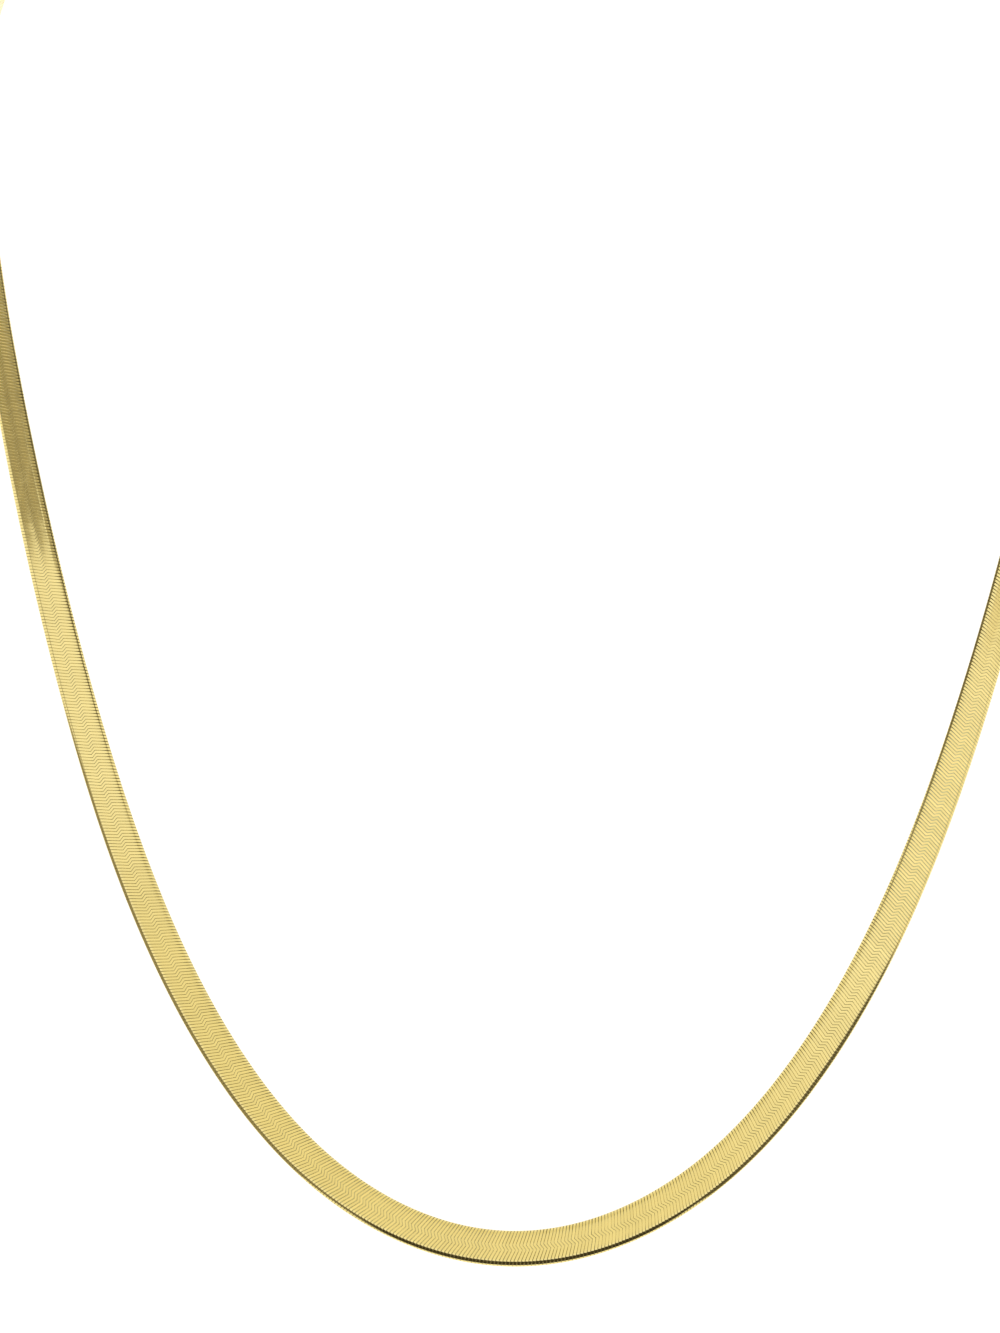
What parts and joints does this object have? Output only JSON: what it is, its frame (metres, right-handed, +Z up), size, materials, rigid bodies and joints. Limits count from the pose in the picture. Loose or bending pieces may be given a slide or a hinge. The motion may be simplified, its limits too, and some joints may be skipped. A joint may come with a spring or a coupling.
{
  "type": "herringbone chain necklace",
  "caption": "Flat gold herringbone chain in its worn form, a deep closed loop with end caps, jump rings and a lobster clasp at the nape.",
  "frame": {"origin": "middle of the clasp at the nape, where the worn loop is held up", "axes": "+Z up, +Y to the back of the neck, so the front of the loop hangs forward and down at -Y and -Z; -X is the picture's left"},
  "size_m": [0.1332, 0.1191, 0.1514],
  "materials": {
    "gold": "polished yellow gold"
  },
  "bodies": {
    "root": {"herringbone_band": "gold", "end_cap_left": "gold", "end_cap_right": "gold", "jump_ring_left": "gold", "jump_ring_right": "gold", "lobster_clasp": "gold"}
  },
  "joints": []
}
